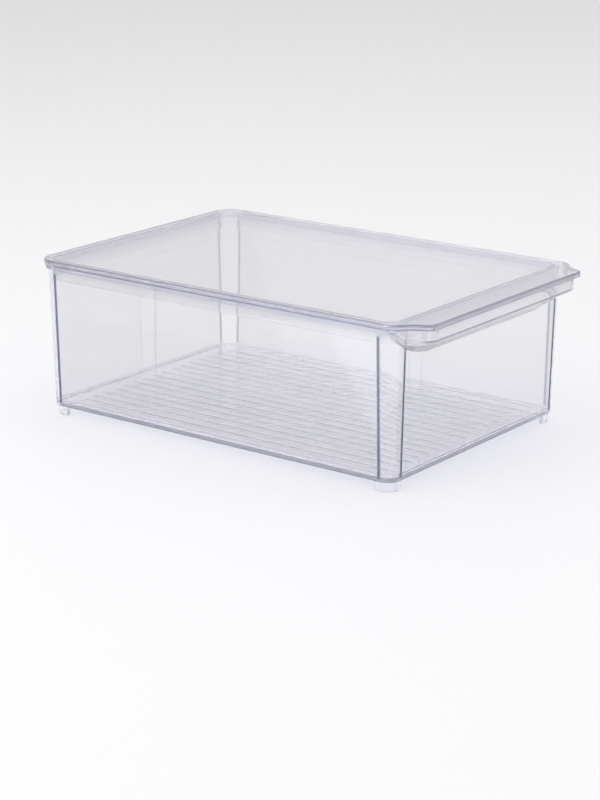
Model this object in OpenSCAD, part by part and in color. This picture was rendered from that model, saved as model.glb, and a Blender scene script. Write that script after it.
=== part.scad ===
// Clear storage bin for a refrigerator shelf, with a lift-off lid.
// Two mouldings: the bin, whose front wall carries a hollow pull lip under the rim, and the lid.
// Millimetres, +Z up, the pull lip on the -Y side, the feet standing on Z = 0.

/* [Bin] */
// Outside width of the bin at its rim
bin_w = 192.2; // [150:0.2:240]
// Outside length of the bin at its rim
bin_l = 278; // [200:0.2:340]
// Height of the walls, from the underside of the floor to the rim
wall_h = 96.3; // [70:0.1:140]
// Wall thickness
wall = 2.0; // [1.6:0.1:2.4]
// Floor thickness
floor_t = 2.2; // [1.6:0.1:3]
// Draft of the walls, each side, in degrees
draft = 1.5; // [0.5:0.1:2]
// Outside corner radius at the rim
corner_r = 11.8; // [9:0.1:16]

/* [Floor ribs] */
// Number of fine ribs on the floor
rib_count = 18; // [6:1:18]
// Distance between ribs
rib_pitch = 10; // [6:0.5:10]
// Width of one rib
rib_w = 0.9; // [0.5:0.1:1.5]
// Height of one rib above the floor
rib_h = 0.5; // [0.3:0.1:1]
// Gap between the rib ends and the short walls
rib_end_gap = 10; // [6:1:20]

/* [Feet] */
// Height of the feet
foot_h = 6.1; // [3:0.1:8]
// Radial thickness of a foot
foot_t = 2.4; // [1.5:0.1:3]
// Straight length of a foot beyond the corner arc
foot_run = 4; // [2:0.5:8]
// Outside radius of a foot's corner arc
foot_r = 7.6; // [6:0.1:8]

/* [Rim and pull lip] */
// Height of the bead under the rim
bead_h = 2.7; // [2:0.1:4]
// How far the bead and the lip stay inside the lid's outline
bead_inset = 1.0; // [0.6:0.1:1.4]
// Height of the upright apron of the pull lip, bead included
apron_h = 7.5; // [5:0.5:12]
// Slope of the underside of the lip, above horizontal, in degrees
lip_slope = 39; // [30:1:45]
// Slope of the underside towards the two ends of the lip, in degrees
end_slope = 35; // [30:1:45]
// Height from the rim down to where the lip runs out at its ends
end_drop = 2.9; // [2:0.1:4]
// Thickness of the lip
lip_t = 2.0; // [1.5:0.1:2.4]

/* [Lid] */
// How far the lid stands out past the walls on each side
overhang = 2.3; // [2:0.1:3]
// How far the lip of the lid stands out past the front edge
lip_out = 16.3; // [14:0.1:20]
// Thickness of the lid's plate
plate_t = 2.2; // [1.6:0.1:3]
// Depth of the turned-down edge, plate included
edge_h = 3.6; // [3:0.1:5]
// Thickness of the turned-down edge
edge_t = 2.0; // [1.6:0.1:2]
// Corner radius at the back of the lid
lid_r = 13.5; // [12:0.1:18]
// Corner radius of the lid at the ends of the lip
shoulder_r = 10; // [8:0.1:14]
// Direction of the shoulders of the lip, in degrees from the front edge
shoulder_deg = 39; // [30:1:45]
// Direction of the flanks of the lip, in degrees from the front edge
flank_deg = 62; // [55:1:75]
// Inset of the flanks from the lid's side, measured along the front edge
flank_in = 15; // [12:0.5:24]
// Radius of the lip's front corners
nose_r = 4; // [4:0.1:6]
// Depth of the skirt inside the bin, below the plate
skirt_h = 11.1; // [6:0.1:16]
// Thickness of the skirt
skirt_t = 1.6; // [1.2:0.1:2.4]

/* [Fit] */
// Gap between the lid and the bin
gap = 0.3; // [0.2:0.05:0.5]

/* [Hidden] */
$fn = 96;
tint = [0.86, 0.87, 0.95, 0.35];            // clear plastic: red, green, blue, alpha
eps = 0.01;
past = 20;                                  // how far cutters run past what they cut
over = 1;                                   // how far the bin's inside cutter runs past the rim
rib_root = 1;                               // depth to which the ribs root in the floor
mid_y = lip_out / 2;                        // moves the bounding box's centre to Y = 0
floor_z = foot_h;                           // underside of the floor
rim_z = floor_z + wall_h;                   // top of the walls
plate_z = rim_z + gap;                      // underside of the plate
edge_z = plate_z + plate_t - edge_h;        // bottom of the turned-down edge
lid_w = bin_w + 2 * overhang;
lid_l = bin_l + 2 * overhang;               // length of the lid without its lip
shoulder_back = 7;                          // middle of the shoulder arcs, behind the lid's front edge
lip_back = 14;                              // where the lip starts, behind the lid's front edge
bead_top = edge_z - gap;                    // top of the bead and of the apron
bead_z = bead_top - bead_h;
front = lid_l / 2 + lip_out;                // distance of the lip's front edge from the lid's middle
lean_room = 0.1;                            // more room for the skirt, because the walls lean in
skirt_gap = 2 * gap + lean_room;
skirt_w = bin_w - 2 * (wall + skirt_gap);
skirt_l = bin_l - 2 * (wall + skirt_gap);
skirt_r = corner_r - wall - skirt_gap;
core = 1.1;                                 // depth to which the bead and lip root in the wall
rib_l = bin_l - 2 * (wall_h * tan(draft) + wall + rib_end_gap);

// How far a wall leans in at a height above the floor's underside, to a whole micron.
function lean(z) = round((wall_h - z) * tan(draft) * 1000) / 1000;

// Solid with leaning sides and round corners: its half sizes and corner radius at the top.
module drafted(hx, hy, r, z0, z1) {
    cx = hx - r;
    cy = hy - r;
    d0 = lean(z0);
    d1 = lean(z1);
    h = z1 - z0;
    translate([0, cy, z0])
        rotate([90, 0, 0])
            linear_extrude(2 * cy)
                polygon([[-hx + d0, 0], [hx - d0, 0], [hx - d1, h], [-hx + d1, h]]);
    translate([-cx, 0, z0])
        rotate([90, 0, 90])
            linear_extrude(2 * cx)
                polygon([[-hy + d0, 0], [hy - d0, 0], [hy - d1, h], [-hy + d1, h]]);
    for (sx = [-1, 1], sy = [-1, 1])
        translate([sx * cx, sy * cy, z0])
            cylinder(h = h, r1 = r - d0, r2 = r - d1);
}

// Rectangle with round corners, given its full sizes.
module round_rect(w, l, r) {
    square([w, l - 2 * r], center = true);
    square([w - 2 * r, l], center = true);
    for (sx = [-1, 1], sy = [-1, 1])
        translate([sx * (w / 2 - r), sy * (l / 2 - r)])
            circle(r);
}

// Where two lines n . p = c meet.
function meet(n, c, m, d) =
    [c * m[1] - d * n[1], n[0] * d - m[0] * c] / (n[0] * m[1] - n[1] * m[0]);

// Outline of the lid with its lip, moved in by a distance.
module outline(inset) {
    hx = lid_w / 2;
    ax = hx - shoulder_r;
    ay = -(lid_l / 2 - shoulder_back);
    n1 = [sin(shoulder_deg), -cos(shoulder_deg)];
    n2 = [sin(flank_deg), -cos(flank_deg)];
    foot_pt = [hx - flank_in, -front];
    c1 = n1[0] * ax + n1[1] * ay + shoulder_r;
    c2 = n2[0] * foot_pt[0] + n2[1] * foot_pt[1];
    knee = meet(n1, c1 - inset, n2, c2 - inset);
    nose = meet(n2, c2 - nose_r, [0, -1], front - nose_r);
    touch1 = [ax, ay] + (shoulder_r - inset) * n1;
    touch2 = nose + (nose_r - inset) * n2;
    by = lid_l / 2 - lid_r;
    translate([-hx + inset, ay])
        square([2 * (hx - inset), by - ay]);
    translate([-hx + lid_r, 0])
        square([2 * (hx - lid_r), lid_l / 2 - inset]);
    for (s = [0, 1])
        mirror([s, 0]) {
            translate([hx - lid_r, by])
                circle(lid_r - inset);
            translate([ax, ay])
                circle(shoulder_r - inset);
            translate(nose)
                circle(nose_r - inset);
            polygon([[-eps, ay + eps], [ax, ay + eps], [ax, ay], touch1, knee, touch2, nose,
                     [nose[0], -front + inset], [-eps, -front + inset]]);
        }
}

// Half plane in front of the place where the lip starts.
module lip_side() {
    translate([-lid_w, -front - past])
        square([2 * lid_w, front + past - (lid_l / 2 - lip_back)]);
}

// Everything above the sloping underside of the lip, raised by a distance.
module above_slopes(up) {
    tip_y = front - bead_inset;
    tip_x = lid_w / 2 - bead_inset;
    apron_z = bead_top - apron_h + up;
    ends_z = rim_z - end_drop + up;
    intersection() {
        translate([-lid_w, 0, 0])
            rotate([90, 0, 90])
                linear_extrude(2 * lid_w)
                    polygon([[-tip_y - past, apron_z + past * tan(lip_slope)],
                             [-tip_y, apron_z],
                             [-tip_y + 2 * past, apron_z - 2 * past * tan(lip_slope)],
                             [-tip_y + 2 * past, rim_z + past],
                             [-tip_y - past, rim_z + past]]);
        rotate([90, 0, 0])
            linear_extrude(2 * front)
                polygon([[-tip_x - past, ends_z + past * tan(end_slope)],
                         [-tip_x + 2 * past, ends_z - 2 * past * tan(end_slope)],
                         [tip_x - 2 * past, ends_z - 2 * past * tan(end_slope)],
                         [tip_x + past, ends_z + past * tan(end_slope)],
                         [tip_x + past, rim_z + past],
                         [-tip_x - past, rim_z + past]]);
    }
}

// The part of the outline that lies outside the wall's core.
module outside_core(inset, depth) {
    difference() {
        outline(inset);
        round_rect(bin_w - 2 * depth, bin_l - 2 * depth, corner_r - depth);
    }
}

// Hollow pull lip and rim bead, rooted in the wall.
module lip_and_bead() {
    difference() {
        union() {
            translate([0, 0, bead_z])
                linear_extrude(bead_h)
                    outside_core(bead_inset, core);
            intersection() {
                translate([0, 0, floor_z])
                    linear_extrude(bead_top - floor_z)
                        intersection() {
                            outside_core(bead_inset, core);
                            lip_side();
                        }
                above_slopes(0);
            }
        }
        intersection() {
            translate([0, 0, floor_z])
                linear_extrude(wall_h + past)
                    intersection() {
                        outside_core(bead_inset + lip_t, 0);
                        lip_side();
                    }
            above_slopes(lip_t / cos(lip_slope));
        }
    }
}

// One foot, a short wall that follows the corner.
module foot() {
    linear_extrude(foot_h + floor_t / 2) {
        difference() {
            intersection() {
                circle(foot_r);
                square(foot_r);
            }
            circle(foot_r - foot_t);
        }
        translate([-foot_run, foot_r - foot_t])
            square([foot_run, foot_t]);
        translate([foot_r - foot_t, -foot_run])
            square([foot_t, foot_run]);
    }
}

module bin() {
    color(tint)
        translate([0, mid_y, 0]) {
            translate([0, 0, floor_z])
                difference() {
                    drafted(bin_w / 2, bin_l / 2, corner_r, 0, wall_h);
                    drafted(bin_w / 2 - wall, bin_l / 2 - wall, corner_r - wall, floor_t, wall_h + over);
                }
            translate([0, 0, floor_z + floor_t + (rib_h - rib_root) / 2])
                for (i = [0 : rib_count - 1])
                    translate([(i - (rib_count - 1) / 2) * rib_pitch, 0, 0])
                        cube([rib_w, rib_l, rib_h + rib_root], center = true);
            for (sx = [0, 1], sy = [0, 1])
                mirror([sx, 0])
                    mirror([0, sy])
                        translate([bin_w / 2 - corner_r, bin_l / 2 - corner_r, 0])
                            foot();
            lip_and_bead();
        }
}

module lid() {
    color(tint)
        translate([0, mid_y, 0]) {
            translate([0, 0, plate_z])
                linear_extrude(plate_t)
                    outline(0);
            translate([0, 0, edge_z])
                linear_extrude(edge_h - plate_t + eps)
                    difference() {
                        outline(0);
                        outline(edge_t);
                    }
            translate([0, 0, plate_z - skirt_h])
                linear_extrude(skirt_h + eps)
                    difference() {
                        round_rect(skirt_w, skirt_l, skirt_r);
                        round_rect(skirt_w - 2 * skirt_t, skirt_l - 2 * skirt_t, skirt_r - skirt_t);
                    }
        }
}

bin();
lid();
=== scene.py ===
"""Clear fridge bin with a lift-off lid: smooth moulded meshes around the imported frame."""
import math

import bmesh
import bpy
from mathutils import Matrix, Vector


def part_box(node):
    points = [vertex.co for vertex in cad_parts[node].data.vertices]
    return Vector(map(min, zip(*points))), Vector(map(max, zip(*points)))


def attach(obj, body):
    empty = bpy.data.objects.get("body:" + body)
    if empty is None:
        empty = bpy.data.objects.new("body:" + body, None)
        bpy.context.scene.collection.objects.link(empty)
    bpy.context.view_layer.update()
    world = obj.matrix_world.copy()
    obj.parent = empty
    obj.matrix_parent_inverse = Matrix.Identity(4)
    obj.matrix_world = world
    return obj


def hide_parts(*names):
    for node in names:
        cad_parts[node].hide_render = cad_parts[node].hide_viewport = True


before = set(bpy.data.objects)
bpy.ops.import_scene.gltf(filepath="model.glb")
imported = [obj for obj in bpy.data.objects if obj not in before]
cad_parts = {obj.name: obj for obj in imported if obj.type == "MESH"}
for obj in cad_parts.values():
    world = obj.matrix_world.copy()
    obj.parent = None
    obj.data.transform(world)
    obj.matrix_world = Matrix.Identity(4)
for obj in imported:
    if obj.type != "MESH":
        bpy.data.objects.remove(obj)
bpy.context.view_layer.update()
lid_lo, lid_hi = (Vector(p) * 1000 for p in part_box("lid"))
bin_hi = Vector(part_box("bin")[1]) * 1000

# ---------------------------------------------------------------- sizes, in millimetres
LIP_OUT = 16.3                       # how far the lip stands out past the lid's front edge
MID_Y = LIP_OUT / 2                  # middle of the bin's body
HALF_X = lid_hi.x                    # half width of the lid
FRONT = lid_lo.y                     # front of the lip
BACK = lid_hi.y                      # back edge of the lid
FLOOR_Z = 6.1                        # underside of the floor
RIM_Z = bin_hi.z                     # top of the walls
TOP_Z = lid_hi.z                     # top of the lid

WALL_X, WALL_Y = 96.1, 139.0         # half sizes of the body at the rim
WALL_R = 11.8                        # its corner radius
WALL_T = 2.0
FLOOR_T = 2.2
FLOOR_TOP = FLOOR_Z + FLOOR_T
LEAN = math.tan(math.radians(1.5))   # draft of the walls
BOTTOM_R, RIM_R, FILLET_R = 1.5, 0.5, 3.0   # rounding of the bottom edge, the rim and the inside of the floor

PLATE_T, EDGE_H, EDGE_T = 2.2, 3.6, 2.0     # lid: thickness of the plate, height and thickness of its edge
PLATE_Z = TOP_Z - PLATE_T
EDGE_Z = TOP_Z - EDGE_H
TOP_R, LOW_R = 0.6, 0.4              # rounding of the lid's upper edge and of its other edges
SKIRT_GAP, SKIRT_T, SKIRT_H = 0.7, 1.6, 11.1   # gap to the wall, thickness, depth below the plate
SKIRT_IN = 0.05                      # how much the skirt narrows towards its lower end
PLATE_FILLET = 0.8                   # between the plate and the inside of the skirt

LID_R = 13.5                         # corner radius at the back of the lid
SHOULDER_R, SHOULDER_DEG = 10.0, 39  # shoulders of the lip: corner radius, and slant from the front edge
SHOULDER_BACK = 7.0                  # from the lid's front edge back to the middle of that radius
FLANK_IN, FLANK_DEG = 15.0, 62       # flanks of the lip: inset at the front, and slant from the front edge
KNEE_R = 14.0                        # bend between flank and shoulder
LID_NOSE_R, BIN_NOSE_R = 4.0, 14.0   # front corners of the lip, on the lid and on the bin

GAP = 0.3                            # between lid and bin
BEAD_TOP = EDGE_Z - GAP
BEAD_IN = 1.0                        # bead inside the lid's outline
APRON_IN = 2.35                      # the lip's apron stands behind the lid's turned-down edge
BEAD_LOW = BEAD_TOP - 2.3            # lower edge of the bead
APRON_LOW = BEAD_TOP - 7.9           # lower edge of the pull lip's apron
CREASE_LOW = BEAD_TOP - 21.8         # where the underside of the lip meets the wall
LIP_T = 1.5                          # thickness of the lip
REACH_MIN, HOLLOW_MIN = 0.6, 0.35    # least distance from the wall to the bead's face, and to its inside
INSET_RUN, DROP_RUN = 9.0, 5.0       # lengths along the outline over which the lip moves in, and drops
TUCK_START, TUCK_RUN = 10.0, 5.0     # where the apron's top rises behind the lid's edge, and over what length
TUCK_Z = PLATE_Z - 0.45              # height of the apron's top there

RIBS, RIB_PITCH, RIB_W, RIB_H = 18, 10.0, 2.2, 0.22
RIB_END = 123.0                      # half length of the ribs
RIB_STEPS = 8                        # faces across a rib
POST_W, POST_D = 0.9, 0.5            # half width and depth of the lines where walls turn into corners
FOOT_R, FOOT_T, FOOT_RUN = 7.6, 2.4, 4.0   # feet: outer radius, thickness, length of the straight ends
FOOT_EDGE_R = 0.6
FOOT_BITE = 1.0                      # how far a foot reaches into the floor, so that the two join

# ---------------------------------------------------------------- fineness of the meshes
OUTLINE_STEP = 0.25                  # mm between the points of a dense outline
TURN_MIN = 1e-4                      # radians; less turn than this counts as straight
TURN_MAX = math.radians(6)           # most turn between two kept stations
NEAR = 2                             # stations between the end of a bend and its support station
BUSY_GAP = 4                         # stations per kept one where the lip changes shape
SHARP = math.radians(40)             # least angle between faces that shows as a sharp edge
SUPPORT, WIDE_SUPPORT = 0.3, 0.4     # from the end of a rounding to the point that keeps the next face flat
CORNER_STEPS = 12                    # faces round a foot's corner
RISE_FINE = range(0, 91, 15)         # degrees along an arc, forwards and backwards
FALL_FINE = range(0, -91, -15)
FALL = range(0, -91, -30)


# ---------------------------------------------------------------- outlines
def filleted(corners):
    """Points and outward normals, close together, round a polygon of anticlockwise corners (x, y, radius)."""
    pts, n = [], len(corners)
    arcs = []
    for i in range(n):
        p, q, r = (Vector(corners[(i + k) % n][:2]) for k in (-1, 0, 1))
        u, v = (q - p).normalized(), (r - q).normalized()
        turn = math.atan2(u.x * v.y - u.y * v.x, u.dot(v))
        rad = corners[i][2]
        cut = rad * math.tan(abs(turn) / 2)
        side = Vector((-u.y, u.x)) * math.copysign(1, turn)
        arcs.append((q - u * cut, q + v * cut, q - u * cut + side * rad, turn, rad))
    for i in range(n):
        a, b, c, turn, rad = arcs[i]
        steps = max(4, int(abs(turn) * rad / OUTLINE_STEP))
        out = math.copysign(1, turn)
        for k in range(steps + 1):
            w = turn * k / steps
            d = a - c
            d = Vector((d.x * math.cos(w) - d.y * math.sin(w), d.x * math.sin(w) + d.y * math.cos(w)))
            pts.append((c + d, d.normalized() * out))
        run = arcs[(i + 1) % n][0] - b
        normal = Vector((run.y, -run.x)).normalized()
        steps = max(2, int(run.length / OUTLINE_STEP))
        for k in range(1, steps):
            pts.append((b + run * (k / steps), normal))
    return pts


def lid_outline(nose):
    """The lid's outline with its lip; the lip's flanks and shoulders swing out to the corners."""
    shoulder, flank = math.radians(SHOULDER_DEG), math.radians(FLANK_DEG)
    cx, cy = HALF_X - SHOULDER_R, FRONT + LIP_OUT + SHOULDER_BACK
    n1 = Vector((math.sin(shoulder), -math.cos(shoulder)))
    n2 = Vector((math.sin(flank), -math.cos(flank)))
    c1 = n1.dot(Vector((cx, cy))) + SHOULDER_R
    fx = HALF_X - FLANK_IN
    c2 = n2.dot(Vector((fx, FRONT)))
    det = n1.x * n2.y - n1.y * n2.x
    knee = Vector(((c1 * n2.y - c2 * n1.y) / det, (n1.x * c2 - n2.x * c1) / det))
    side_y = (c1 - n1.x * HALF_X) / n1.y
    right = [(fx, FRONT, nose), (*knee, KNEE_R), (HALF_X, side_y, SHOULDER_R), (HALF_X, BACK, LID_R)]
    left = [(-x, y, rad) for x, y, rad in reversed(right)]
    return filleted(right + left)


def skirt_outline():
    """Outline of the lid's skirt, a rounded rectangle inside the walls."""
    inward = WALL_T + SKIRT_GAP
    hx, hy, rad = WALL_X - inward, WALL_Y - inward, WALL_R - inward
    return filleted([(x, y + MID_Y, rad) for x, y in ((hx, -hy), (hx, hy), (-hx, hy), (-hx, -hy))])


def wall_foot(p):
    """Nearest point of the body's rounded rectangle, and the wall's normal there."""
    hx, hy = WALL_X - WALL_R, WALL_Y - WALL_R
    c = Vector((max(-hx, min(hx, p.x)), max(-hy, min(hy, p.y - MID_Y)) + MID_Y))
    n = (p - c).normalized()
    return c + n * WALL_R, n


def smooth_step(t):
    """0 below 0, 1 above 1, and an even S-curve between."""
    t = max(0.0, min(1.0, t))
    return t * t * (3 - 2 * t)


def thinned(stations):
    """Keeps the stations that carry the shape.

    They are the ends of each bend with a support station outside it, enough within a bend for TURN_MAX,
    every fine one, and one in BUSY_GAP of the busy ones.
    """
    n = len(stations)
    rate = []
    for i, s in enumerate(stations):
        prev = stations[i - 1]
        rate.append(s["N"].angle(prev["N"], 0.0) + s["n"].angle(prev["n"], 0.0))
    keep, acc, gap = set(), 0.0, 0
    for i, s in enumerate(stations):
        here, after = rate[i] > TURN_MIN, rate[(i + 1) % n] > TURN_MIN
        acc += rate[i]
        gap += 1
        if here != after:
            keep.add(i)
            keep.add((i - NEAR) % n if after else (i + NEAR) % n)
            acc = 0.0
        elif acc > TURN_MAX or (s.get("busy") and gap >= BUSY_GAP) or s.get("fine"):
            keep.add(i)
            acc = 0.0
            gap = 0
    return [stations[i] for i in sorted(keep)]


# ---------------------------------------------------------------- mesh helpers
class Shell:
    """Collects rings of points into one closed mesh."""

    def __init__(self):
        self.bm = bmesh.new()

    def ring(self, pts):
        return [self.bm.verts.new((p[0] / 1000, p[1] / 1000, p[2] / 1000)) for p in pts]

    def strip(self, a, b):
        n = len(a)
        for i in range(n):
            j = (i + 1) % n
            self.bm.faces.new((a[i], a[j], b[j], b[i]))

    def stack(self, rows):
        rings = [self.ring(r) for r in rows]
        for a, b in zip(rings, rings[1:]):
            self.strip(a, b)
        return rings

    def cap(self, ring, up):
        face = self.bm.faces.new(ring)
        face.normal_update()
        if (face.normal.z > 0) != up:
            face.normal_flip()

    def between(self, outer, inner):
        """Flat face with a hole, between two rings at the same height."""
        edges = []
        for r in (outer, inner):
            for i, v in enumerate(r):
                w = r[(i + 1) % len(r)]
                edges.append(self.bm.edges.get((v, w)) or self.bm.edges.new((v, w)))
        bmesh.ops.triangle_fill(self.bm, use_beauty=True, use_dissolve=False, edges=edges)

    def finish(self, name):
        bmesh.ops.remove_doubles(self.bm, verts=self.bm.verts, dist=1e-6)
        bmesh.ops.recalc_face_normals(self.bm, faces=self.bm.faces)
        me = bpy.data.meshes.new(name)
        self.bm.to_mesh(me)
        self.bm.free()
        me.shade_smooth()
        me.set_sharp_from_angle(angle=SHARP)
        obj = bpy.data.objects.new(name, me)
        bpy.context.scene.collection.objects.link(obj)
        return obj


def arc(inset, z, rad, start, turns=(0, 30, 60, 90)):
    """Pairs (inset, height) on an arc round a centre: its start in degrees, then how far on each point is."""
    angles = [math.radians(start + t) for t in turns]
    return [(inset + rad * math.cos(a), z + rad * math.sin(a)) for a in angles]


def bend(at, into, out, rad, extra):
    """Profile points that round a corner between two unit directions, with one support point each side."""
    cut = rad * math.tan(into.angle(out, 0.0) / 2)
    a, b = at - into * cut, at + out * cut
    pts = [at - into * (cut + extra)]
    for t in (0.0, 0.25, 0.5, 0.75, 1.0):
        # quadratic through the two tangent points, close to an arc
        pts.append(a * (1 - t) ** 2 + at * (2 * t * (1 - t)) + b * t ** 2)
    pts.append(at + out * (cut + extra))
    return pts


# ---------------------------------------------------------------- bin: plan
def lip_edge(e, far):
    """Height of the apron's lower edge, from the distance e inward from the side of the lid."""
    drop, run, power = 0.9, 6.0, 1.3
    low = APRON_LOW + (BEAD_LOW + drop - APRON_LOW) * math.exp(-(max(e, 0.0) / run) ** power)
    return BEAD_LOW + (min(low, BEAD_LOW) - BEAD_LOW) * far


def lip_crease(e, far):
    """Height of the crease where the lip's underside meets the wall."""
    rise, run, under = 20.0, 18.0, 0.4
    low = CREASE_LOW + rise * math.exp(-max(e, 0.0) / run)
    return BEAD_LOW - under + (min(low, BEAD_LOW - under) - BEAD_LOW + under) * far


def from_post(x, y, lean=0.0):
    """Distance from the nearest line where a flat wall turns into a corner."""
    x, y = abs(x), abs(y - MID_Y)
    return min(math.hypot(x - (WALL_X - WALL_R), y + lean - WALL_Y),
               math.hypot(x + lean - WALL_X, y - (WALL_Y - WALL_R)))


def measure_runs(stations, start_y):
    """Sets each station's distance along the outline from where the lip starts on its side, 0 behind that."""
    for s in stations:
        s["run"] = 0.0
    for side in (1, -1):
        run, last = 0.0, None
        half = [s for s in stations if s["O"].x * side > 0 and s["O"].y < start_y]
        half.sort(key=lambda s: (-s["O"].y, s["O"].x * -side))
        for s in half:
            if last is not None:
                run += (s["O"] - last).length
            last = s["O"]
            s["run"] = run


def bin_stations():
    """Stations round the bin: a point and normal on the lip's outline (O, N) and on the wall (W, n)."""
    stations = []
    for p, n_out in lid_outline(BIN_NOSE_R):
        w, n = wall_foot(p)
        stations.append({"O": p, "N": n_out, "W": w, "n": n})
    start_y = FRONT + LIP_OUT + SHOULDER_BACK
    measure_runs(stations, start_y)
    busy_behind, busy_x, fine_round = 8, 60, 1.0
    for s in stations:
        away = from_post(*s["W"])
        s["post"] = POST_D * (1 - smooth_step(away / POST_W))
        s["fine"] = away < POST_W + fine_round
        s["busy"] = s["O"].y < start_y + busy_behind and abs(s["O"].x) > busy_x
    return thinned(stations)


# ---------------------------------------------------------------- bin: profile at one station
def on_wall(s, z, depth=0.0):
    """Point at a height, on the outer face of the leaning wall or some depth inside it."""
    q = s["W"] - s["n"] * ((RIM_Z - z) * LEAN + depth)
    return Vector((q.x, q.y, z))


def bottom_edge(s):
    """Underside, rounded bottom edge and the start of the outer wall, where the corner line begins."""
    mid = FLOOR_Z + BOTTOM_R
    rows = [on_wall(s, FLOOR_Z, BOTTOM_R + WIDE_SUPPORT)]
    rows += [on_wall(s, z, depth) for depth, z in arc(BOTTOM_R, mid, BOTTOM_R, 270, FALL_FINE)]
    line_start = mid + 1.5
    return rows + [on_wall(s, mid + SUPPORT), on_wall(s, line_start, s["post"])]


def lip_outside(s, face, d, crease, edge, top):
    """End of the corner line, the crease, the lip's underside and lower edge, and its face up to the top."""
    line_low, line_high = crease - 3.6, crease - 2.9
    rows = [on_wall(s, line_low, s["post"]), on_wall(s, line_high)]
    slope = Vector((d, edge - crease)).normalized()
    up, inward = Vector((0, 1)), Vector((-1, 0))
    big = smooth_step((d - 1.5) / 5)               # 0 along the narrow bead, 1 along the lip
    crease_r, edge_r, top_r = 0.5 + 1.3 * big, 0.5 + 0.6 * big, 0.4
    prof = bend(Vector((0, crease)), up, slope, crease_r, 0.2)
    prof += bend(Vector((d, edge)), slope, up, edge_r, 0.15)
    prof += bend(Vector((d, top)), up, inward, top_r, 0.15)
    foot = on_wall(s, crease).xy
    for out, z in prof:
        rows.append(Vector((*(foot + (face - foot) * (out / d)), z)))
    return rows


def lip_inside(s, inset, d, crease, edge, top):
    """Inside of the lip, the trough behind it, and the wall's outer face above the trough."""
    inner = s["O"] - s["N"] * (inset + LIP_T)
    reach = (inner - s["W"]).dot(s["n"])
    if reach < HOLLOW_MIN:
        inner = inner + s["n"] * (HOLLOW_MIN - reach)
        reach = HOLLOW_MIN
    deep = smooth_step((reach - 0.4) / 3.0)        # 0 along the bead, 1 where the lip is hollow
    shallow, under_t = top - 0.15, 0.75
    z_in = shallow + (edge + under_t - shallow) * deep
    z_wall = z_in - (edge - crease) / d * reach * deep
    r = 0.12 + 0.28 * deep                         # rounding of the apron's top
    rows = [Vector((*(inner + s["N"] * r), top))]
    rows.append(Vector((*(inner + s["N"] * r * 0.3), top - r * 0.3)))
    rows.append(Vector((*inner, top - r)))
    across = on_wall(s, z_wall).xy - inner
    near, far, round_h = 0.12, 0.9, 0.3            # the trough's corners: shares of its width, and height
    for t in (0.0, 0.04, near, far, 0.97, 1.0):
        ease = round_h * deep * (max(0.0, 1 - t / near) ** 2 + max(0.0, (t - far) / (1 - far)) ** 2)
        rows.append(Vector((*(inner + across * t), z_in + (z_wall - z_in) * t + ease)))
    above = 0.9
    rows.append(on_wall(s, min(z_wall + above, RIM_Z - above)))
    return rows


def rim_and_inside(s):
    """Rounded rim, inner face of the wall, and the fillet into the floor."""
    high, low = RIM_Z - RIM_R, FLOOR_TOP + FILLET_R
    outer = arc(RIM_R, high, RIM_R, 180, FALL)
    inner = arc(WALL_T - RIM_R, high, RIM_R, 90, FALL)
    fillet = arc(WALL_T + FILLET_R, low, FILLET_R, 180, RISE_FINE)
    pts = [(0.0, high - 0.2)] + outer + inner + [(WALL_T, high - WIDE_SUPPORT), (WALL_T, low + 0.5)]
    pts += fillet + [(WALL_T + FILLET_R + WIDE_SUPPORT, FLOOR_TOP)]
    return [on_wall(s, z, depth) for depth, z in pts]


def bin_profile(s):
    """Points of the bin's skin at one station, from under the floor, up the outside and down the inside."""
    run = s["run"]
    inset = BEAD_IN + (APRON_IN - BEAD_IN) * smooth_step(run / INSET_RUN)
    face = s["O"] - s["N"] * inset
    d = max((face - s["W"]).dot(s["n"]), REACH_MIN)
    far = smooth_step(run / DROP_RUN)
    edge = lip_edge(HALF_X - abs(s["O"].x), far)
    crease = lip_crease(HALF_X - abs(s["W"].x), far)
    narrow, drop_min, slope_min = 2.5, 0.4, 0.3    # the crease stays below the lower edge
    if d < narrow:
        crease = min(crease, edge - drop_min)
    crease = min(crease, edge - slope_min * d)
    top = BEAD_TOP + (TUCK_Z - BEAD_TOP) * smooth_step((run - TUCK_START) / TUCK_RUN)
    rows = bottom_edge(s)
    rows += lip_outside(s, face, d, crease, edge, top)
    rows += lip_inside(s, inset, d, crease, edge, top)
    rows += rim_and_inside(s)
    return rows


# ---------------------------------------------------------------- bin: floor, feet, whole
def rib_grid(shell):
    """Adds the ribbed part of the floor, a strip of faces for every rib and gap; returns its border."""
    xs, hs = [], []
    for i in range(RIBS):
        c = (i - (RIBS - 1) / 2) * RIB_PITCH
        for k in range(RIB_STEPS + 1):
            xs.append(c + (k / RIB_STEPS - 0.5) * RIB_W)
            hs.append(RIB_H * (0.5 - 0.5 * math.cos(2 * math.pi * k / RIB_STEPS)))
    ramp = [(RIB_END, 0), (RIB_END - 0.5, 0.8), (RIB_END - 1.2, 1)]
    ends = [(-y, share) for y, share in ramp] + ramp[::-1]
    grid = []
    for y, share in ends:
        grid.append(shell.ring([(x, y + MID_Y, FLOOR_TOP + h * share) for x, h in zip(xs, hs)]))
    for a, b in zip(grid, grid[1:]):
        for i in range(len(xs) - 1):
            shell.bm.faces.new((a[i], a[i + 1], b[i + 1], b[i]))
    right, left = [row[-1] for row in grid[1:-1]], [row[0] for row in grid[-2:0:-1]]
    return grid[0] + right + grid[-1][::-1] + left


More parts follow.
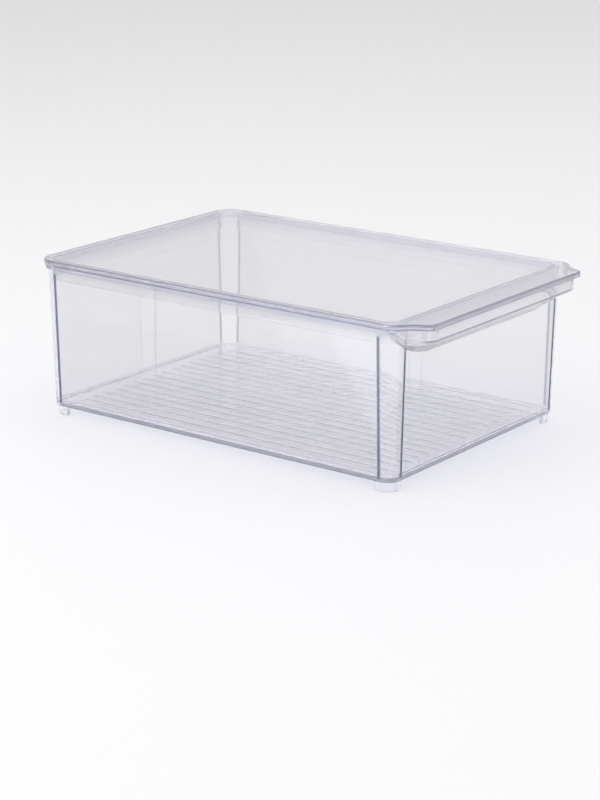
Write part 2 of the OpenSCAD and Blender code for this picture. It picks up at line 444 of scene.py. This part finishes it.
def build_foot(sx, sy):
    """One foot: a short round-edged wall that follows the corner."""
    cx, cy = sx * (WALL_X - WALL_R), MID_Y + sy * (WALL_Y - WALL_R)
    straight = (-FOOT_RUN, -FOOT_RUN + WIDE_SUPPORT, -WIDE_SUPPORT)
    line = [(Vector((t, 0)), Vector((0, 1))) for t in straight]
    for k in range(CORNER_STEPS + 1):
        a = math.radians(90 - 90 * k / CORNER_STEPS)
        line.append((Vector((0, 0)), Vector((math.cos(a), math.sin(a)))))
    line += [(Vector((0, t)), Vector((1, 0))) for t in straight[::-1]]
    r, top = FOOT_EDGE_R, FLOOR_Z + FOOT_BITE
    inner, outer = FOOT_R - FOOT_T, FOOT_R
    prof = [(inner, top), (inner, r + SUPPORT)]
    prof += arc(inner + r, r, r, 180) + arc(outer - r, r, r, 270)
    prof += [(outer, r + SUPPORT), (outer, top)]
    rows = []
    for c, d in line:
        rows.append([(cx + sx * (c.x + d.x * t), cy + sy * (c.y + d.y * t), z) for t, z in prof])
    shell = Shell()
    rings = shell.stack(rows)
    shell.bm.faces.new(rings[0])
    shell.bm.faces.new(rings[-1][::-1])
    return shell.finish(f"foot_{sx}_{sy}")


def join_feet(body):
    """Unites the four feet with the body, and leaves the result in one mesh."""
    feet = [build_foot(sx, sy) for sx in (1, -1) for sy in (1, -1)]
    for foot in feet:
        mod = body.modifiers.new("foot", "BOOLEAN")
        mod.operation = "UNION"
        mod.solver = "EXACT"
        mod.object = foot
    bpy.context.view_layer.update()
    me = bpy.data.meshes.new_from_object(body.evaluated_get(bpy.context.evaluated_depsgraph_get()))
    body.modifiers.clear()
    body.data = me
    me.name = "bin_clear"
    me.shade_smooth()
    me.set_sharp_from_angle(angle=SHARP)
    for foot in feet:
        bpy.data.objects.remove(foot)


def store_painted_shade(me, shade_at):
    """Stores the mesh attribute "line", the strength of the painted edge shade at each point, from a
    function.
    """
    lines = me.attributes.new("line", "FLOAT", "POINT")
    for v in me.vertices:
        lines.data[v.index].value = shade_at(*(v.co * 1000))


def bin_painted_shade(x, y, z):
    """Painted shade on the bin: dark lines painted in full on the corner lines and weaker round the bottom
    edge, standing in for the dark look refraction gives them.
    """
    lean = (RIM_Z - z) * LEAN
    if FLOOR_Z + 2.5 < z < BEAD_LOW - 2:
        full, fade = 0.75, 0.6
        return 1 - smooth_step((from_post(x, y, lean) - full) / fade)
    outside = max(abs(x) - WALL_X, abs(y - MID_Y) - WALL_Y) + lean > -2
    return 0.4 if outside and FLOOR_Z + 0.1 < z < FLOOR_Z + 1.4 else 0.0


def build_bin():
    cols = [bin_profile(s) for s in bin_stations()]
    shell = Shell()
    rings = shell.stack(list(zip(*cols)))
    shell.cap(rings[0], False)
    shell.between(rings[-1], rib_grid(shell))
    body = shell.finish("bin_clear")
    join_feet(body)
    # painted shade: dark lines on the corner lines and round the bottom edge
    store_painted_shade(body.data, bin_painted_shade)
    return body


# ---------------------------------------------------------------- lid
def lid_edge_profile():
    """Pairs (inset, height) down the outside of the lid's edge and up to the plate's underside."""
    mid = EDGE_Z + LOW_R
    pts = [(TOP_R + WIDE_SUPPORT, TOP_Z)] + arc(TOP_R, TOP_Z - TOP_R, TOP_R, 90, (0, 22, 45, 68, 90))
    pts += [(0, TOP_Z - TOP_R - SUPPORT), (0, mid + SUPPORT)]
    pts += arc(LOW_R, mid, LOW_R, 180) + arc(EDGE_T - LOW_R, mid, LOW_R, 270)
    pts += arc(EDGE_T + LOW_R, PLATE_Z - LOW_R, LOW_R, 180, FALL)
    return pts + [(EDGE_T + LOW_R + WIDE_SUPPORT, PLATE_Z)]


def skirt_profile():
    """Pairs (inset, height) down the outside of the lid's skirt and up its inside."""
    low, high = PLATE_Z - SKIRT_H + LOW_R, PLATE_Z - LOW_R
    pts = [(-LOW_R - WIDE_SUPPORT, PLATE_Z)] + arc(-LOW_R, high, LOW_R, 90, FALL)
    pts += [(0, high - WIDE_SUPPORT), (SKIRT_IN, low + SUPPORT)]
    pts += arc(SKIRT_IN + LOW_R, low, LOW_R, 180) + arc(SKIRT_T - LOW_R, low, LOW_R, 270)
    pts += [(SKIRT_T, low + SUPPORT), (SKIRT_T, PLATE_Z - PLATE_FILLET - WIDE_SUPPORT)]
    pts += arc(SKIRT_T + PLATE_FILLET, PLATE_Z - PLATE_FILLET, PLATE_FILLET, 180, FALL)
    return pts + [(SKIRT_T + PLATE_FILLET + WIDE_SUPPORT, PLATE_Z)]


def lid_rows(outline, profile):
    """Rings of points that carry a profile round an outline."""
    stations = thinned([{"O": p, "N": n, "n": n} for p, n in outline])
    return [[Vector((*(s["O"] - s["N"] * inset), z)) for s in stations] for inset, z in profile]


def lid_painted_shade(x, y, z):
    """Painted shade on the lid: a dark colour painted on the rounded stretches of its turned-down edge,
    standing in for the dark look refraction gives them.
    """
    less, more = 0.01, 0.02                        # room for rounding errors
    upper = TOP_Z - TOP_R - more < z < TOP_Z - less
    lower = EDGE_Z - less < z < EDGE_Z + LOW_R + more
    return 1.0 if upper or lower else 0.0


def build_lid():
    shell = Shell()
    edge = shell.stack(lid_rows(lid_outline(LID_NOSE_R), lid_edge_profile()))
    shell.cap(edge[0], True)
    skirt = shell.stack(lid_rows(skirt_outline(), skirt_profile()))
    shell.between(edge[-1], skirt[0])
    shell.cap(skirt[-1], False)
    body = shell.finish("lid_clear")
    # painted shade: dark lines on the rounded stretches of the lid's edge
    store_painted_shade(body.data, lid_painted_shade)
    return body


# ---------------------------------------------------------------- materials
CLEAR = (0.995, 0.995, 1, 1)


def node(nt, kind, values=None):
    """New shader node, with the inputs named in values set."""
    made = nt.nodes.new("ShaderNode" + kind)
    for name, value in (values or {}).items():
        made.inputs[name].default_value = value
    return made


def add_painted_edge_shade(nt, glass, painted_shade_colour):
    """Paints shade into the plastic's colour by the mesh attribute "line": dark lines at its edges and
    corners.
    """
    shade_amount = node(nt, "Attribute")
    shade_amount.attribute_name = "line"
    painted_shade_mix = node(nt, "Mix")
    painted_shade_mix.data_type = "RGBA"
    factor, plain, shaded = (painted_shade_mix.inputs[i] for i in (0, 6, 7))
    plain.default_value = CLEAR
    # the painted shade colour of the edge lines
    shaded.default_value = (*painted_shade_colour, 1)
    nt.links.new(shade_amount.outputs["Fac"], factor)
    nt.links.new(painted_shade_mix.outputs[2], glass.inputs["Base Color"])


def add_flow_waves(nt, glass, seed):
    """Faint roughness and waves, as moulded plastic has; the seed shifts them between pieces."""
    coords = node(nt, "TexCoord")
    shift = node(nt, "Mapping", {"Location": (seed, seed * 0.37, 0)})
    haze = node(nt, "TexNoise", {"Scale": 90, "Detail": 4})
    rough = node(nt, "MapRange", {"To Min": 0.0, "To Max": 0.03})
    waves = node(nt, "TexNoise", {"Scale": 22, "Detail": 1})
    bump = node(nt, "Bump", {"Strength": 0.1, "Distance": 0.0003})
    nt.links.new(coords.outputs["Object"], shift.inputs["Vector"])
    nt.links.new(shift.outputs["Vector"], haze.inputs["Vector"])
    nt.links.new(haze.outputs["Fac"], rough.inputs["Value"])
    nt.links.new(rough.outputs["Result"], glass.inputs["Roughness"])
    nt.links.new(shift.outputs["Vector"], waves.inputs["Vector"])
    nt.links.new(waves.outputs["Fac"], bump.inputs["Height"])
    nt.links.new(bump.outputs["Normal"], glass.inputs["Normal"])


def let_light_through(nt, glass):
    """Mixes in a plain transparent surface that only shadow and diffuse rays see."""
    through = node(nt, "BsdfTransparent", {"Color": (0.95, 0.95, 0.965, 1)})
    path = node(nt, "LightPath")
    either = node(nt, "Math")
    either.operation = "MAXIMUM"
    mix = node(nt, "MixShader")
    nt.links.new(path.outputs["Is Shadow Ray"], either.inputs[0])
    nt.links.new(path.outputs["Is Diffuse Ray"], either.inputs[1])
    nt.links.new(either.outputs[0], mix.inputs[0])
    nt.links.new(glass.outputs[0], mix.inputs[1])
    nt.links.new(through.outputs[0], mix.inputs[2])
    return mix


def clear_plastic(name, tint, density, seed, painted_shade_colour):
    """Clear moulded plastic: polished, with faint flow waves, coloured by its thickness, and with painted
    shade along its edges and corners.
    """
    mat = bpy.data.materials.new(name)
    mat.use_nodes = True
    nt = mat.node_tree
    nt.nodes.clear()
    out = node(nt, "OutputMaterial")
    optics = {"Base Color": CLEAR, "Transmission Weight": 1.0, "IOR": 1.57, "Alpha": 0.83}
    glass = node(nt, "BsdfPrincipled", optics)
    # painted shade: dark lines at edges and corners, from the mesh attribute "line"
    add_painted_edge_shade(nt, glass, painted_shade_colour)
    add_flow_waves(nt, glass, seed)
    surface = let_light_through(nt, glass)
    absorb = node(nt, "VolumeAbsorption", {"Color": (*tint, 1), "Density": density})
    nt.links.new(surface.outputs[0], out.inputs["Surface"])
    nt.links.new(absorb.outputs[0], out.inputs["Volume"])
    return mat


def dress(obj, material):
    obj.data.materials.clear()
    obj.data.materials.append(material)


LAVENDER = (0.5, 0.5, 0.8)
bin_obj = build_bin()
lid_obj = build_lid()
# the last colour of each is the painted shade of its edge lines
dress(bin_obj, clear_plastic("clear_plastic_bin", LAVENDER, 12.0, 3.1, (0.02, 0.03, 0.10)))
dress(lid_obj, clear_plastic("clear_plastic_lid", LAVENDER, 9.0, 7.7, (0.26, 0.25, 0.46)))
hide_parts("bin")
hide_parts("lid")
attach(bin_obj, "bin")
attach(lid_obj, "lid")


# ---------------------------------------------------------------- stage, light, camera
def build_floor():
    """Pale matt floor under the bin."""
    bpy.ops.mesh.primitive_plane_add(size=14)
    floor = bpy.context.object
    floor.name = "studio_floor"
    pale = bpy.data.materials.new("pale_floor")
    pale.use_nodes = True
    surface = pale.node_tree.nodes["Principled BSDF"]
    surface.inputs["Base Color"].default_value = (0.78, 0.78, 0.785, 1)
    surface.inputs["Roughness"].default_value = 0.6
    floor.data.materials.append(pale)


def build_world():
    """Even light from all round, a little brighter from above."""
    world = bpy.data.worlds.new("studio")
    bpy.context.scene.world = world
    world.use_nodes = True
    wt = world.node_tree
    background = wt.nodes["Background"]
    direction = node(wt, "TexCoord")
    split = node(wt, "SeparateXYZ")
    ramp = node(wt, "ValToRGB")
    ramp.color_ramp.elements[0].position = 0.0
    ramp.color_ramp.elements[0].color = (0.8, 0.8, 0.82, 1)
    ramp.color_ramp.elements[1].position = 0.6
    ramp.color_ramp.elements[1].color = (0.95, 0.95, 0.96, 1)
    wt.links.new(direction.outputs["Generated"], split.inputs[0])
    wt.links.new(split.outputs["Z"], ramp.inputs["Fac"])
    wt.links.new(ramp.outputs["Color"], background.inputs["Color"])
    background.inputs["Strength"].default_value = 0.9


def area_light(name, at, size, power):
    """Square light that points at the middle of the bin."""
    aim = Vector((0, 0, 0.05))
    data = bpy.data.lights.new(name, "AREA")
    data.size = size
    data.energy = power
    obj = bpy.data.objects.new(name, data)
    obj.location = at
    obj.rotation_euler = (aim - Vector(at)).to_track_quat("-Z", "Y").to_euler()
    bpy.context.scene.collection.objects.link(obj)


def build_camera():
    """The photo's viewpoint, from the front left and above, fitted to the bin's edges."""
    camera = bpy.data.cameras.new("camera")
    camera.sensor_fit = "HORIZONTAL"
    camera.sensor_width = 36.0
    camera.lens = 135.35
    camera.clip_start = 0.05
    camera.clip_end = 50
    eye = bpy.data.objects.new("camera", camera)
    yaw, pitch = math.radians(37.06), math.radians(16.89)
    look = Vector((math.cos(pitch) * math.cos(yaw), math.cos(pitch) * math.sin(yaw), -math.sin(pitch)))
    eye.location = (-1.1279, -0.84195, 0.4401)
    eye.rotation_euler = look.to_track_quat("-Z", "Y").to_euler()
    bpy.context.scene.collection.objects.link(eye)
    bpy.context.scene.camera = eye


build_floor()
build_world()
area_light("soft_left", (-1.2, 0.6, 1.6), 1.2, 14)
area_light("soft_top", (0.4, -0.5, 2.0), 1.6, 10)
build_camera()
bpy.context.scene.view_settings.view_transform = "Standard"
cycles = bpy.context.scene.cycles
cycles.max_bounces = 32
cycles.transmission_bounces = 32
cycles.transparent_max_bounces = 32
